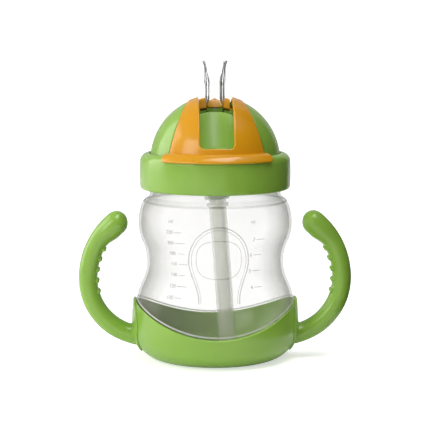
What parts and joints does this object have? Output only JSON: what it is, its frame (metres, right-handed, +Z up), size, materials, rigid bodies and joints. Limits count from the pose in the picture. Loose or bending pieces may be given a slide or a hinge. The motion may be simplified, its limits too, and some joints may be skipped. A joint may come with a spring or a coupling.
{
  "type": "straw sippy cup",
  "caption": "Small waisted bottle in a scalloped cup with side handles, a screw collar and a domed lid whose turning shutter folds a soft drinking spout away.",
  "frame": {"origin": "centre of the foot on the surface it stands on", "axes": "+Z up, -Y towards the front (the side with the cover's window), +X through the right handle as seen from the front"},
  "size_m": [0.1326, 0.0798, 0.1445],
  "materials": {
    "green_plastic": "glossy moulded polypropylene, light yellow-green",
    "orange_plastic": "glossy moulded plastic, warm orange-yellow",
    "pale_green_plastic": "moulded plastic, pale green",
    "bottle_plastic": "translucent polypropylene, slightly milky",
    "clear_silicone": "clear silicone rubber",
    "milky_silicone": "milky silicone rubber",
    "tube_plastic": "milky straw tube"
  },
  "bodies": {
    "base": {"base_cup": "green_plastic", "handle_left": "green_plastic", "handle_right": "green_plastic"},
    "bottle": {"bottle": "bottle_plastic"},
    "lid": {"dome_lid": "green_plastic", "front_cover": "orange_plastic", "inner_plate": "pale_green_plastic", "seal_ring": "clear_silicone", "vent_valve": "clear_silicone", "spout_base": "clear_silicone", "straw_connector": "milky_silicone", "dip_tube": "tube_plastic"},
    "collar": {"screw_collar": "green_plastic"},
    "shutter": {"slide_shutter": "orange_plastic"},
    "spout_link": {"spout_neck": "clear_silicone"},
    "spout_tip": {"spout_mouth": "clear_silicone"}
  },
  "joints": [
    {"name": "bottle_lift", "type": "slide", "parent": "base", "child": "bottle", "axis": [0, 0, 1], "range_m": [0, 0.07]},
    {"name": "lid_lift", "type": "slide", "parent": "bottle", "child": "lid", "axis": [0, 0, 1], "range_m": [0, 0.00461]},
    {"name": "collar_turn", "type": "hinge", "parent": "lid", "child": "collar", "pos_m": [0, 0, 0.09], "axis": [0, 0, 1], "range_deg": [0, 414]},
    {"name": "shutter_turn", "type": "hinge", "parent": "lid", "child": "shutter", "pos_m": [0, 0, 0.0964], "axis": [1, 0, 0], "range_deg": [0, 90]},
    {"name": "spout_bend_low", "type": "hinge", "parent": "lid", "child": "spout_link", "pos_m": [0, 0.0032, 0.1144], "axis": [1, 0, 0], "range_deg": [0, 51], "deforming": ["spout_neck"]},
    {"name": "spout_bend_high", "type": "hinge", "parent": "spout_link", "child": "spout_tip", "pos_m": [0, 0.0032, 0.1224], "axis": [1, 0, 0], "range_deg": [0, 78], "deforming": ["spout_mouth"]}
  ],
  "couplings": [
    {"joint": "lid_lift", "follows": "collar_turn", "m_per_rad": 0.00063662},
    {"joint": "spout_bend_low", "follows": "shutter_turn", "ratio": 0.555},
    {"joint": "spout_bend_high", "follows": "shutter_turn", "ratio": 0.86}
  ]
}
